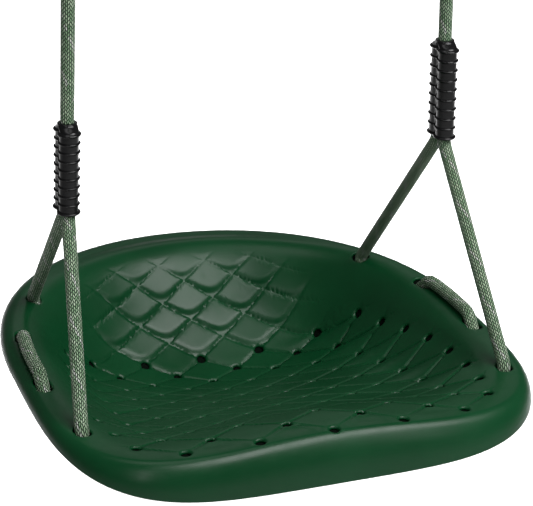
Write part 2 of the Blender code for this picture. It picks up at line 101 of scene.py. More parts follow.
# the seat's mesh is laid out in a flat chart of its top skin
LIP_STRETCH = 1.7
CELL_STEPS = (0.0, 0.020, 0.045, 0.10, 0.22, 0.36, 0.48, 0.58,
              0.66, 0.73, 0.79, 0.84, 0.88, 0.92, 0.955, 0.985)
HOLE_LOOPS = (0.0, 0.0005, 0.0011, 0.0019, 0.0028)
SLOT_LOOPS = (0.0, 0.0008, 0.0020)
HOLE_LIP, HOLE_LIP_WIDTH = 0.0017, 0.0028
SLOT_LIP, SLOT_LIP_WIDTH = 0.0009, 0.0020
HOLE_MARGIN, SLOT_MARGIN = 0.0034, 0.0026
HOLE_POINTS, SLOT_END_POINTS, RING_POINTS = 20, 15, 420
RING_START, RING_STEP, LIP_RINGS = 0.60, 0.0125, 15
QUILTED_U, QUILTED_V = 5.9, (-5.6, 18.4)
PLAIN_U, PLAIN_V = 5.98, (-5.7, 18.5)
WALL_ROWS = 3

BRAID_COLUMNS = 20.0
BRAID_PITCH = 0.0043
TRACER_PITCH = 0.056

GROUND_Z, GROUND_REACH = -1.25, 14


# ---------------------------------------------------------------- camera
CAMERA_PLACE = (-0.68404, -1.82328, 0.36242)
CAMERA_TURN = (20.867, 23.925, -1.600)
SENSOR_WIDTH, FOCAL_LENGTH = 36.0, 128.16


def make_camera():
    yaw, pitch, roll = (math.radians(angle) for angle in CAMERA_TURN)
    forward = Vector((math.sin(yaw) * math.cos(pitch), math.cos(yaw) * math.cos(pitch), -math.sin(pitch)))
    right = Vector((math.cos(yaw), -math.sin(yaw), 0.0))
    down = forward.cross(right)
    across = right * math.cos(roll) + down * math.sin(roll)
    below = down * math.cos(roll) - right * math.sin(roll)
    data = bpy.data.cameras.new("camera")
    data.sensor_width = SENSOR_WIDTH
    data.lens = FOCAL_LENGTH
    data.clip_end = 50.0
    camera = bpy.data.objects.new("camera", data)
    turn = Matrix((across, -below, -forward)).transposed().to_4x4()
    camera.matrix_world = Matrix.Translation(CAMERA_PLACE) @ turn
    bpy.context.scene.collection.objects.link(camera)
    bpy.context.scene.camera = camera


make_camera()


# ---------------------------------------------------------------- seat surface, on numpy arrays
def signed_power(base, power):
    return np.copysign(np.abs(base) ** power, base)


def outline(phi):
    """Plan position of the seat's edge: a rounded square in front, nearly an ellipse behind."""
    c, s = np.cos(phi), np.sin(phi)
    rear = s >= 0
    n = np.where(rear, BACK_EXPONENT, FRONT_EXPONENT)
    reach = np.where(rear, BACK_REACH, FRONT_REACH)
    return SEAT_HALF_WIDTH * signed_power(c, 2 / n), WIDEST_Y + reach * signed_power(s, 2 / n)


def spaced_bearings(count, offset=0.0):
    """Outline parameters of rays at even bearings from the bowl's centre."""
    bearing = (np.arange(count) + offset) * 2 * math.pi / count - math.pi
    return bearing_of(np.cos(bearing), BOWL_CENTRE_Y + np.sin(bearing))


def around(values, phi):
    """A size that differs at the side, front and back, blended round the rim."""
    side, front, back = values
    s = np.sin(phi)
    return side + (np.where(s < 0, front, back) - side) * s * s


def crest_fraction(phi):
    x, y = outline(phi)
    return 1.0 - around(LIP_WIDTH, phi) / np.hypot(x, y - BOWL_CENTRE_Y)


def crest_height(phi):
    x = outline(phi)[0] / SEAT_HALF_WIDTH * crest_fraction(phi)
    crown = FRONT_CROWN * np.sin(phi) ** 2 * np.maximum(0, 1 - x * x) ** 4
    return around(CREST_HEIGHT, phi) + np.where(np.sin(phi) < 0, crown, 0.0)


def bowl_height(x, y):
    floor = FLOOR_Z - FLOOR_SLOPE * (y - FLOOR_Y)
    wall = FLOOR_Z + WALL_SLOPE * (y - WALL_Y)
    valley = (floor + wall + np.hypot(floor - wall, VALLEY_WIDTH)) / 2
    side = SIDE_WALL * np.abs(x / (SEAT_HALF_WIDTH - LIP_WIDTH[0])) ** SIDE_WALL_POWER
    return valley + SIDE_CURL * (y - SIDE_CURL_Y) * x * x + side


def bearing_of(x, y):
    """Outline parameter of the ray from the bowl's centre through each point."""
    bearing = np.arctan2(y - BOWL_CENTRE_Y, x)
    low, high = bearing - math.pi / 4, bearing + math.pi / 4
    for _ in range(44):
        phi = (low + high) / 2
        ox, oy = outline(phi)
        ahead = np.sin(bearing - np.arctan2(oy - BOWL_CENTRE_Y, ox)) > 0
        low, high = np.where(ahead, phi, low), np.where(ahead, high, phi)
    return (low + high) / 2


def unroll(x, y):
    """Flat chart of the top skin: plan position, with the lip laid out flat."""
    phi = bearing_of(x, y)
    ox, oy = outline(phi)
    k = np.hypot(x, y - BOWL_CENTRE_Y) / np.hypot(ox, oy - BOWL_CENTRE_Y)
    kc = crest_fraction(phi)
    u = np.arcsin(np.clip((k - kc) / (1 - kc), 0, 1)) * 2 / math.pi
    chart = np.where(k <= kc, k, kc + u * (1 - kc) * LIP_STRETCH)
    return ox * chart, BOWL_CENTRE_Y + (oy - BOWL_CENTRE_Y) * chart


def surface(qx, qy):
    """Points of the plain top skin for chart positions."""
    phi = bearing_of(qx, qy)
    ox, oy = outline(phi)
    chart = np.hypot(qx, qy - BOWL_CENTRE_Y) / np.hypot(ox, oy - BOWL_CENTRE_Y)
    kc = crest_fraction(phi)
    crest = crest_height(phi)
    u = np.clip((chart - kc) / ((1 - kc) * LIP_STRETCH), 0, 1)
    k = np.where(chart <= kc, chart, kc + (1 - kc) * np.sin(u * math.pi / 2))
    x, y = ox * k, BOWL_CENTRE_Y + (oy - BOWL_CENTRE_Y) * k
    t = np.clip(chart / kc, 0, 1)
    q = np.clip((t - RIM_BLEND) / (1 - RIM_BLEND), 0, 1)
    ease = q * q * (3 - 2 * q)
    inner = (1 - ease) * bowl_height(x, y) + ease * crest
    outer = crest - (crest - around(EDGE_HEIGHT, phi)) * (1 - np.cos(u * math.pi / 2))
    z = np.where(chart <= kc, inner, outer)
    return np.stack([x, y + SEAT_SHIFT_Y, z - HANG_DROP], axis=-1)


def surface_normal(qx, qy, step=0.0006):
    a = surface(qx + step, qy) - surface(qx - step, qy)
    b = surface(qx, qy + step) - surface(qx, qy - step)
    n = np.cross(a, b)
    return n / np.maximum(np.linalg.norm(n, axis=-1, keepdims=True), 1e-12)


def seat_height(x, y):
    q = unroll(np.array([x]), np.array([y]))
    return float(surface(*q)[0][2]) + HANG_DROP


# ---------------------------------------------------------------- quilting
def lattice_xy(u, v):
    """Plan position of a point of the quilting's lattice."""
    s = v / 10
    ax, ay = LATTICE_X, LATTICE_Y
    x = u * (ax[0] + ax[1] * s + ax[2] * s ** 2 + ax[3] * s ** 3) + u ** 3 * (ax[4] + ax[5] * s)
    y = sum(c * s ** n for n, c in enumerate(ay[:6])) + u ** 2 * (ay[6] + ay[7] * s + ay[8] * s * s)
    return x, y


def lattice_uv(x, y):
    """Inverse of lattice_xy by Newton's method."""
    u = np.clip(x / 0.042, -7, 7)
    v = np.clip((0.22 - y) / 0.026, -7, 20)
    h = 0.01
    for _ in range(14):
        px, py = lattice_xy(u, v)
        ux, uy = lattice_xy(u + h, v)
        vx, vy = lattice_xy(u, v + h)
        a, b, c, d = (ux - px) / h, (vx - px) / h, (uy - py) / h, (vy - py) / h
        det = a * d - b * c
        det = np.where(np.abs(det) < 1e-7, 1e-7, det)
        ex, ey = x - px, y - py
        u = np.clip(u + (d * ex - b * ey) / det, -7.5, 7.5)
        v = np.clip(v + (a * ey - c * ex) / det, -8.5, 20.5)
    return u, v


def smooth(value, start, end):
    q = np.clip((value - start) / (end - start), 0, 1)
    return q * q * (3 - 2 * q)


def wallness(v):
    """1 on the steep back wall, 0 on the floor."""
    return smooth(v, WALL_FROM, WALL_TO)


def envelope(u, v):
    """1 where the quilting is full, fading to 0 at its edges."""
    wall, floor = smooth(np.abs(u), *WALL_SIDE_FADE), smooth(np.abs(u), *FLOOR_SIDE_FADE)
    return np.where(v < 2, wall, floor) * smooth(v, *BACK_FADE) * smooth(v, *FRONT_FADE)


def quilt(u, v, normal, point):
    """How far the quilted skin stands off the plain one, along its normal."""
    i, j = (u + v) / 2, (v - u) / 2
    ci, cj = np.floor(i), np.floor(j)
    a, b = i - ci, j - cj
    corners = []
    for da, db in ((0, 0), (1, 0), (0, 1), (1, 1)):
        ni, nj = ci + da, cj + db
        corners.append(surface(*unroll(*lattice_xy(ni - nj, ni + nj))))
    wa, wb = a[:, None], b[:, None]
    flat = ((1 - wa) * (1 - wb) * corners[0] + wa * (1 - wb) * corners[1]
            + (1 - wa) * wb * corners[2] + wa * wb * corners[3])
    facet = np.clip(np.sum((flat - point) * normal, axis=1), -0.004, 0.006)
    side_a, side_b = np.minimum(a, 1 - a), np.minimum(b, 1 - b)
    groove = smooth(side_a, 0, GROOVE_WIDTH) * smooth(side_b, 0, GROOVE_WIDTH)
    floor_shape = FLOOR_FACET * facet + FLOOR_GROOVE * (groove - 1)
    # on the wall each cell slopes out to a round lower edge
    reach = (a ** SCALE_POWER + b ** SCALE_POWER) ** (1 / SCALE_POWER)
    past = np.clip((reach - SCALE_SHOULDER) / (1.0 - SCALE_SHOULDER), 0, 1) ** 1.5
    fall = 1 - past * past * (3 - 2 * past)
    rise = np.clip((a + b) / 1.5, 0, 1)
    rise = rise * (1.6 - 0.6 * rise)
    crisp = smooth(a, 0, GROOVE_WIDTH) * smooth(b, 0, GROOVE_WIDTH)
    scale = (SCALE_SLOPE * rise + SCALE_RIM * crisp) * fall - SCALE_SINK
    scale_shape = WALL_FACET * facet + SCALE_DEPTH * scale
    w = wallness(v)
    return envelope(u, v) * ((1 - w) * floor_shape + w * scale_shape)


# ---------------------------------------------------------------- node materials
class Nodes:
    """Short-hand for building a material's node tree."""

    def __init__(self, name):
        self.mat = bpy.data.materials.new(name)
        self.mat.use_nodes = True
        self.tree = self.mat.node_tree
        self.shader = self.tree.nodes["Principled BSDF"]

    def new(self, kind, **settings):
        node = self.tree.nodes.new(kind)
        for key, value in settings.items():
            setattr(node, key, value)
        return node

    def link(self, source, target):
        self.tree.links.new(source, target)

    def value(self, socket, source):
        if isinstance(source, (int, float, tuple)):
            socket.default_value = source
        else:
            self.link(source, socket)

    def math(self, operation, a, b=0.0, clamp=False):
        node = self.new("ShaderNodeMath", operation=operation, use_clamp=clamp)
        self.value(node.inputs[0], a)
        self.value(node.inputs[1], b)
        return node.outputs[0]

    def noise(self, scale, detail=2.0, roughness=0.5, vector=None, distortion=0.0):
        node = self.new("ShaderNodeTexNoise")
        node.inputs["Scale"].default_value = scale
        node.inputs["Detail"].default_value = detail
        node.inputs["Roughness"].default_value = roughness
        node.inputs["Distortion"].default_value = distortion
        if vector is None:
            vector = self.new("ShaderNodeTexCoord").outputs["Object"]
        self.link(vector, node.inputs["Vector"])
        return node.outputs["Fac"]

    def ramp(self, source, low, high, to_low, to_high):
        node = self.new("ShaderNodeMapRange")
        node.clamp = True
        self.value(node.inputs["Value"], source)
        node.inputs["From Min"].default_value = low
        node.inputs["From Max"].default_value = high
        node.inputs["To Min"].default_value = to_low
        node.inputs["To Max"].default_value = to_high
        return node.outputs[0]

    def mix(self, factor, a, b):
        node = self.new("ShaderNodeMix", data_type="RGBA")
        self.value(node.inputs["Factor"], factor)
        self.value(node.inputs[6], a)
        self.value(node.inputs[7], b)
        return node.outputs[2]

    def bump(self, height, distance, strength):
        node = self.new("ShaderNodeBump")
        node.inputs["Strength"].default_value = strength
        node.inputs["Distance"].default_value = distance
        self.link(height, node.inputs["Height"])
        return node.outputs[0]

    def set(self, **sockets):
        for key, source in sockets.items():
            self.value(self.shader.inputs[key.replace("_", " ")], source)


def seat_plastic():
    n = Nodes("seat_green_plastic")
    cloud = n.noise(9.0, 3.0, 0.55)
    grain = n.noise(2600.0, 2.0, 0.6)
    scuff = n.noise(70.0, 6.0, 0.7, distortion=0.6)
    deep = (0.0012, 0.054, 0.0150, 1.0)
    mid = (0.0018, 0.066, 0.0190, 1.0)
    colour = n.mix(n.ramp(cloud, 0.35, 0.65, 0.0, 1.0), deep, mid)
    worn = n.ramp(scuff, 0.62, 0.78, 0.0, 0.16)
    colour = n.mix(worn, colour, (0.010, 0.115, 0.042, 1.0))
    rough = n.math("ADD", n.ramp(cloud, 0.3, 0.7, 0.30, 0.37), n.ramp(scuff, 0.5, 0.8, 0.0, 0.10))
    n.set(Base_Color=colour, Roughness=rough, IOR=1.44, Normal=n.bump(grain, 0.00004, 0.35))
    return n.mat


# Painted shade: near-black discs inside the drain holes and rope slots stand for the darkness seen down
# them.
def painted_hole_shade():
    n = Nodes("painted_hole_shade")
    shade = n.noise(160.0, 2.0, 0.5)
    n.set(Base_Color=n.mix(shade, (0.0008, 0.0030, 0.0014, 1.0), (0.0014, 0.0050, 0.0024, 1.0)),
          Roughness=n.ramp(shade, 0.3, 0.7, 0.85, 0.95), Specular_IOR_Level=0.1)
    return n.mat


def rope_weave(name, phase):
    """Braided cover: columns of slanted stitches round the rope, with clusters of light tracers."""
    n = Nodes(name)
    uv = n.new("ShaderNodeUVMap", uv_map="along").outputs[0]
    parts = n.new("ShaderNodeSeparateXYZ")
    n.link(uv, parts.inputs[0])
    across = n.math("MULTIPLY", parts.outputs[0], BRAID_COLUMNS)
    length = n.math("ADD", parts.outputs[1], phase)
    column = n.math("FLOOR", across)
    fx = n.math("SUBTRACT", n.math("FRACT", across), 0.5)
    odd = n.math("MODULO", column, 2.0)
    hand = n.math("SUBTRACT", n.math("MULTIPLY", odd, 2.0), 1.0)
    slant = n.math("MULTIPLY", n.math("MULTIPLY", fx, hand), 0.75)
    rows = n.math("ADD", n.math("ADD", n.math("MULTIPLY", length, 1 / BRAID_PITCH), slant),
                  n.math("MULTIPLY", odd, 0.5))
    stitch = n.math("FLOOR", rows)
    fy = n.math("SUBTRACT", n.math("FRACT", rows), 0.5)

    def crown(f, width):
        c = n.math("DIVIDE", f, width)
        return n.math("SUBTRACT", 1.0, n.math("MULTIPLY", c, c), clamp=True)

    height = n.math("SQRT", n.math("MULTIPLY", crown(fx, 0.47), crown(fy, 0.46)))
    cell = n.new("ShaderNodeCombineXYZ")
    n.link(column, cell.inputs[0])
    n.link(stitch, cell.inputs[1])
    chance = n.new("ShaderNodeTexWhiteNoise", noise_dimensions="3D")
    n.link(cell.outputs[0], chance.inputs["Vector"])
    tint = chance.outputs["Value"]
    wave = n.math("SINE", n.math("ADD", n.math("MULTIPLY", length, 2 * math.pi / TRACER_PITCH),
                                 n.math("MULTIPLY", parts.outputs[0], 4 * math.pi)))
    cluster = n.ramp(wave, 0.90, 0.97, 0.0, 1.0)
    fleck = n.math("MULTIPLY", n.ramp(tint, 0.28, 0.38, 0.0, 1.0), cluster)
    colour = n.mix(tint, (0.24, 0.44, 0.23, 1.0), (0.66, 0.84, 0.60, 1.0))
    colour = n.mix(fleck, colour, (0.94, 0.98, 0.91, 1.0))
    # painted shade: the low ground between the stitches is darkened to near-black green, where shade would
    # fall
    colour = n.mix(n.ramp(height, 0.52, 0.88, 0.0, 1.0), (0.003, 0.024, 0.007, 1.0), colour)
    along = n.new("ShaderNodeCombineXYZ")
    n.link(n.math("MULTIPLY", across, 6.0), along.inputs[0])
    n.link(rows, along.inputs[1])
    fibre = n.noise(1.6, 3.0, 0.6, vector=along.outputs[0])
    relief = n.math("ADD", height, n.math("MULTIPLY", fibre, 0.15))
    n.set(Base_Color=colour, Roughness=n.ramp(fibre, 0.3, 0.7, 0.62, 0.80), IOR=1.45,
          Sheen_Weight=0.12, Sheen_Roughness=0.5, Normal=n.bump(relief, 0.0009, 0.8))
    return n.mat


def black_rubber(name, rough_low, rough_high):
    n = Nodes(name)
    cloud = n.noise(38.0, 3.0, 0.6)
    grain = n.noise(1900.0, 2.0, 0.6)
    rub = n.noise(210.0, 5.0, 0.7)
    fresh, rubbed = (0.0055, 0.0055, 0.006, 1.0), (0.020, 0.020, 0.021, 1.0)
    colour = n.mix(n.ramp(rub, 0.58, 0.75, 0.0, 0.5), fresh, rubbed)
    rough = n.math("ADD", n.ramp(cloud, 0.3, 0.7, rough_low, rough_high), n.ramp(rub, 0.55, 0.8, 0.0, 0.10))
    n.set(Base_Color=colour, Roughness=rough, IOR=1.5, Normal=n.bump(grain, 0.00006, 0.4))
    return n.mat


def black_coat(name):
    n = Nodes(name)
    cloud = n.noise(60.0, 3.0, 0.6)
    peel = n.noise(420.0, 1.0, 0.4)
    chip = n.noise(640.0, 4.0, 0.7)
    coat, bare = (0.004, 0.004, 0.0045, 1.0), (0.035, 0.034, 0.033, 1.0)
    colour = n.mix(n.ramp(chip, 0.70, 0.78, 0.0, 0.45), coat, bare)
    rough = n.math("ADD", n.ramp(cloud, 0.3, 0.7, 0.10, 0.17), n.ramp(chip, 0.66, 0.8, 0.0, 0.25))
    n.set(Base_Color=colour, Roughness=rough, IOR=1.55, Coat_Weight=0.8, Coat_Roughness=0.06,
          Normal=n.bump(peel, 0.00008, 0.25))
    return n.mat


# ---------------------------------------------------------------- mesh helpers
def mesh_object(name, verts, faces, mat, sharp=40.0):
    mesh = bpy.data.meshes.new(name)
    mesh.from_pydata([tuple(v) for v in verts], [], faces)
    mesh.validate()
    mesh.update()
    mesh.materials.append(mat)
    mesh.shade_smooth()
    if sharp:
        mesh.set_sharp_from_angle(angle=math.radians(sharp))
    obj = bpy.data.objects.new(name, mesh)
    bpy.context.scene.collection.objects.link(obj)
    return obj


# ---------------------------------------------------------------- seat
class RimLine:
    """The smooth line through the slots of one side, measured along the rim."""

    def __init__(self, side):
        self.side = side
        knots = [Vector((x, y, 0.0)) for x, y in zip(SLOT_X, SLOT_Y)]
        front, back = (Vector((x, 0, 0)) for x in SLOT_LINE_ENDS)
        knots.insert(0, 2 * knots[0] - knots[1] + front)
        knots.append(2 * knots[-1] - knots[-2] + back)
        self.points = []
        steps = 24
        for a, b, c, d in zip(knots, knots[1:], knots[2:], knots[3:]):
            for i in range(steps):
                t = i / steps
                self.points.append(0.5 * (2 * b + (c - a) * t + (2 * a - 5 * b + 4 * c - d) * t * t
                                          + (3 * b - a - 3 * c + d) * t ** 3))
        self.points.append(knots[-2])
        self.lengths = [0.0]
        for a, b in zip(self.points, self.points[1:]):
            self.lengths.append(self.lengths[-1] + (b - a).length)
        self.slots = [self.lengths[i * steps] for i in range(len(SLOT_X))]

    def plan(self, s):
        if s <= 0.0:
            step = (self.points[1] - self.points[0]).normalized()
            return self.points[0] + step * s
        if s >= self.lengths[-1]:
            step = (self.points[-1] - self.points[-2]).normalized()
            return self.points[-1] + step * (s - self.lengths[-1])
        i = max(k for k, v in enumerate(self.lengths) if v <= s)
        i = min(i, len(self.points) - 2)
        t = (s - self.lengths[i]) / (self.lengths[i + 1] - self.lengths[i])
        return self.points[i].lerp(self.points[i + 1], t)

    def place(self, s, h):
        p = self.plan(s)
        step = 0.001
        slope = math.hypot(seat_height(p.x + step, p.y) - seat_height(p.x - step, p.y),
                           seat_height(p.x, p.y + step) - seat_height(p.x, p.y - step)) / (2 * step)
        z = seat_height(p.x, p.y) + (h - SHELL / 2) * math.hypot(1.0, slope)
        return Vector((self.side * p.x, p.y + SEAT_SHIFT_Y, z - HANG_DROP))

    def heading(self, s):
        step = self.plan(s + 0.002) - self.plan(s - 0.002)
        return math.atan2(step.y, self.side * step.x)


def slot_list():
    slots = []
    for side in (-1, 1):
        rim = RimLine(side)
        for index, s in enumerate(rim.slots):
            p = rim.plan(s)
            slots.append((side * p.x, p.y, rim.heading(s), SLOT_LENGTH[index]))
    return slots


def hole_list():
    """Drain holes: one at each crossing of the floor's grooves and along their ends."""
    holes = []
    for v in range(FIRST_HOLE_ROW, LAST_HOLE_ROW + 1):
        for u in range(-HOLE_COLUMNS, HOLE_COLUMNS + 1):
            end_row, end_column = v in (FIRST_HOLE_ROW, LAST_HOLE_ROW), abs(u) == HOLE_COLUMNS
            if (u + v) % 2 or (end_row and end_column):
                continue
            holes.append((u, v, EDGE_HOLE_RADIUS if end_row or end_column else HOLE_RADIUS))
    return holes


def capsule_distance(x, y, slot):
    """Distance in plan from a slot's edge, negative inside it."""
    cx, cy, heading, length = slot
    half = length / 2 - SLOT_WIDTH / 2
    dx, dy = x - cx, y - cy
    along = dx * math.cos(heading) + dy * math.sin(heading)
    across = -dx * math.sin(heading) + dy * math.cos(heading)
    along = np.maximum(np.abs(along) - half, 0)
    return np.hypot(along, across) - SLOT_WIDTH / 2


class Openings:
    """The seat's drain holes and rope slots."""

    def __init__(self):
        self.slots = slot_list()
        u, v, self.radius = (np.array(column, float) for column in zip(*hole_list()))
        self.x, self.y = lattice_xy(u, v)
        chart = unroll(self.x, self.y)
        self.at = surface(*chart)
        self.normal = surface_normal(*chart)

    def holes(self):
        return zip(self.at, self.normal, self.radius)

    def clear(self, x, y):
        """True where a point in plan keeps its distance from every opening."""
        keep = np.ones(len(x), bool)
        for slot in self.slots:
            keep &= capsule_distance(x, y, slot) > SLOT_MARGIN
        for cx, cy, r, n in zip(self.x, self.y, self.radius, self.normal):
            squash = np.hypot(x - cx, (y - cy) / max(0.6, abs(n[2])))
            keep &= squash > r + HOLE_MARGIN
        return keep


class Chart:
    """Points and edges gathered in the flat chart, before they are joined into triangles."""

    def __init__(self):
        self.points, self.edges = [], []

    def add(self, x, y):
        self.points.extend(zip(x.tolist(), y.tolist()))

    def add_loop(self, x, y):
        start, count = len(self.points), len(x)
        self.add(x, y)
        self.edges.extend((start + k, start + (k + 1) % count) for k in range(count))


def lay_openings(chart, openings):
    """Loops round the holes, which are round on the tilted surface, and round the slots."""
    angles = np.arange(HOLE_POINTS) * 2 * math.pi / HOLE_POINTS
    for c, n, r in openings.holes():
        e1 = np.cross(n, (0.0, 1.0, 0.0))
        e1 /= np.linalg.norm(e1)
        e2 = np.cross(n, e1)
        for extra in HOLE_LOOPS:
            ring = c + (r + extra) * (np.cos(angles)[:, None] * e1 + np.sin(angles)[:, None] * e2)
            chart.add_loop(*unroll(ring[:, 0], ring[:, 1] - SEAT_SHIFT_Y))
    far_end = np.linspace(-math.pi / 2, math.pi / 2, SLOT_END_POINTS)
    near_end = np.linspace(math.pi / 2, 1.5 * math.pi, SLOT_END_POINTS)
    angles = np.concatenate([far_end, near_end])
    for cx, cy, heading, length in openings.slots:
        half = length / 2 - SLOT_WIDTH / 2
        shift = np.repeat([half, -half], SLOT_END_POINTS)
        for extra in SLOT_LOOPS:
            radius = SLOT_WIDTH / 2 + extra
            along, across = shift + radius * np.cos(angles), radius * np.sin(angles)
            x = cx + along * math.cos(heading) - across * math.sin(heading)
            y = cy + along * math.sin(heading) + across * math.cos(heading)
            chart.add_loop(*unroll(x, y))


def lay_quilting(chart, openings):
    """Points along the lattice, closest beside its grooves, which become edges of the mesh."""
    line = np.array([k + f for k in range(-6, 13) for f in CELL_STEPS])
    gi, gj = np.meshgrid(line, line, indexing="ij")
    gu, gv = gi - gj, gi + gj
    gx, gy = lattice_xy(gu, gv)
    keep = (np.abs(gu) < QUILTED_U) & (gv > QUILTED_V[0]) & (gv < QUILTED_V[1])
    keep[keep] = openings.clear(gx[keep], gy[keep])
    phi = bearing_of(gx, gy)
    ox, oy = outline(phi)
    reach = np.hypot(gx, gy - BOWL_CENTRE_Y) / np.hypot(ox, oy - BOWL_CENTRE_Y) / crest_fraction(phi)
    keep &= reach < 0.97
    index = -np.ones(keep.shape, int)
    order = np.argwhere(keep)
    for a, b in order:
        index[a, b] = len(chart.points)
        chart.points.append((float(gx[a, b]), float(gy[a, b])))
    cell = len(CELL_STEPS)
    for a, b in order:
        if a % cell == 0 and b + 1 < len(line) and keep[a, b + 1]:
            chart.edges.append((int(index[a, b]), int(index[a, b + 1])))
        if b % cell == 0 and a + 1 < len(line) and keep[a + 1, b]:
            chart.edges.append((int(index[a, b]), int(index[a + 1, b])))


def lay_rim(chart, openings):
    """Rings of points round the quilting, up to the crest and over the lip."""
    for t in np.arange(RING_START, 1.0, RING_STEP):
        phi = spaced_bearings(RING_POINTS, 0.5 * (round(t / RING_STEP) % 2))
        ox, oy = outline(phi)
        k = crest_fraction(phi) * t
        x, y = ox * k, BOWL_CENTRE_Y + (oy - BOWL_CENTRE_Y) * k
        u, v = lattice_uv(x, y)
        free = (np.abs(u) > PLAIN_U) | (v < PLAIN_V[0]) | (v > PLAIN_V[1])
        free &= openings.clear(x, y)
        chart.add(x[free], y[free])
    phi = spaced_bearings(RING_POINTS, 0.25)
    ox, oy = outline(phi)
    kc = crest_fraction(phi)
    for u in np.linspace(0.0, 1.0, LIP_RINGS):
        k = kc + (1 - kc) * math.sin(u * math.pi / 2)
        free = openings.clear(ox * k, BOWL_CENTRE_Y + (oy - BOWL_CENTRE_Y) * k)
        k = kc + (1 - kc) * LIP_STRETCH * u
        x, y = ox * k, BOWL_CENTRE_Y + (oy - BOWL_CENTRE_Y) * k
        if u == 1.0:
            chart.add_loop(x, y)
        else:
            chart.add(x[free], y[free])


def join_chart(chart, openings):
    """The plain top skin's points, normals and triangles, with the openings left out."""
    flat, _, faces, _, _, _ = delaunay_2d_cdt([Vector(p) for p in chart.points], chart.edges, [], 0, 1e-6)
    q = np.array([(p.x, p.y) for p in flat])
    top = surface(q[:, 0], q[:, 1])
    tri = np.array([f for f in faces if len(f) == 3])
    mid = top[tri].mean(axis=1)
    good = np.ones(len(tri), bool)
    for slot in openings.slots:
        good &= capsule_distance(mid[:, 0], mid[:, 1] - SEAT_SHIFT_Y, slot) > 0
    for c, n, r in openings.holes():
        away = mid - c
        away = away - np.outer(away @ n, n)
        good &= np.linalg.norm(away, axis=1) > r * 0.985
    return top, surface_normal(q[:, 0], q[:, 1]), tri[good]


def relief(top, normal, openings):
    """How far the quilting stands off the plain skin, and how far the openings' lips dip."""
    plan_x, plan_y = top[:, 0], top[:, 1] - SEAT_SHIFT_Y
    stand = quilt(*lattice_uv(plan_x, plan_y), normal, top)
    lips = np.zeros(len(top))
    calm = np.ones(len(top))
    for c, _, r in openings.holes():
        gap = np.linalg.norm(top - c, axis=1) - r
        lips = np.maximum(lips, HOLE_LIP * np.clip(1 - gap / HOLE_LIP_WIDTH, 0, 1) ** 2)
    for slot in openings.slots:
        gap = capsule_distance(plan_x, plan_y, slot)
        lips = np.maximum(lips, SLOT_LIP * np.clip(1 - gap / SLOT_LIP_WIDTH, 0, 1) ** 2)
        calm = np.minimum(calm, smooth(gap, 0.002, 0.012))
    return stand * calm, lips


def border_loops(border):
    """The closed loops that a skin's border edges form, the seat's outer edge last."""
    loops, ahead = [], dict(border)
    while ahead:
        start = next(iter(ahead))
        loop, here = [start], ahead.pop(start)
        while here != start:
            loop.append(here)
            here = ahead.pop(here)
        loops.append(loop)
    return sorted(loops, key=len)


def close_shell(upper, lower, tri):
    """Both skins with the walls between them, and a disc that closes each opening near the underside, to
    carry the painted shade seen down the openings.
    """
    used = dict.fromkeys(pair for a, b, c in tri.tolist() for pair in ((a, b), (b, c), (c, a)))
    border = [(a, b) for a, b in used if (b, a) not in used]
    follow = sorted({a for pair in border for a in pair})
    place = {a: n for n, a in enumerate(follow)}
    count = len(upper)
    verts = [*upper.tolist(), *lower.tolist()]
    wall_start = len(verts)
    for r in range(1, WALL_ROWS):
        t = r / WALL_ROWS
        for a in follow:
            verts.append((upper[a] * (1 - t) + lower[a] * t).tolist())

    def rung(a, r):
        if r == 0:
            return a
        if r == WALL_ROWS:
            return count + a
        return wall_start + (r - 1) * len(follow) + place[a]

    discs = []
    for loop in border_loops(border)[:-1]:
        ring = [rung(a, WALL_ROWS - 1) for a in loop]
        hub = len(verts)
        verts.append(np.mean([verts[r] for r in ring], axis=0).tolist())
        discs += [(ring[k], ring[(k + 1) % len(ring)], hub) for k in range(len(ring))]
    shell = [tuple(f) for f in tri.tolist()]
    shell += [(count + c, count + b, count + a) for a, b, c in tri.tolist()]
    for a, b in border:
        for r in range(WALL_ROWS):
            shell.append((rung(b, r), rung(a, r), rung(a, r + 1), rung(b, r + 1)))
    return verts, shell, discs


def build_seat(mat, painted_shade):
    openings, chart = Openings(), Chart()
    lay_openings(chart, openings)
    lay_quilting(chart, openings)
    lay_rim(chart, openings)
    top, normal, tri = join_chart(chart, openings)
    stand, lips = relief(top, normal, openings)
    upper = top + normal * (stand - lips)[:, None]
    lower = top + normal * (stand * 0.9 - SHELL + 0.5 * lips)[:, None]
    verts, shell, discs = close_shell(upper, lower, tri)
    seat = mesh_object("seat_quilted", verts, shell + discs, mat, sharp=60.0)
    # the closing discs take the near-black painted shade that stands for the darkness down the holes and
    # slots
    seat.data.materials.append(painted_shade)
    for poly in list(seat.data.polygons)[len(shell):]:
        poly.material_index = 1
    bm = bmesh.new()
    bm.from_mesh(seat.data)
    bmesh.ops.delete(bm, geom=[p for p in bm.verts if not p.link_faces], context="VERTS")
    bm.to_mesh(seat.data)
    bm.free()
    return seat


# ---------------------------------------------------------------- rope routes, as in the CAD
OVER = SHELL / 2 + ROPE_D / 2 + ROPE_GAP_OVER
UNDER = SHELL / 2 + ROPE_D / 2 + ROPE_GAP_UNDER


def sleeve_axis_x(side, name, z):
    """The rope leans slightly outwards from its link down to the sleeve's foot."""
    foot = SLEEVE_BOTTOM[name] - HANG_DROP
    t = (z - foot) / (-LINK_LENGTH - foot)
    return side * (SLEEVE_BOTTOM_X + (HANG_X - SLEEVE_BOTTOM_X) * min(1.0, t))


def turn(rim, s_centre, direction, lean, steps=7):
    """Leg coming down through an end slot and turning under the rim."""
    points = []
    for i in range(steps + 1):
        a = lean + (-math.pi / 2 - lean) * i / steps
        radius = OVER + (UNDER - OVER) * max(0.0, -math.sin(a))
        points.append(rim.place(s_centre - direction * radius * math.cos(a), radius * math.sin(a)))
    return points


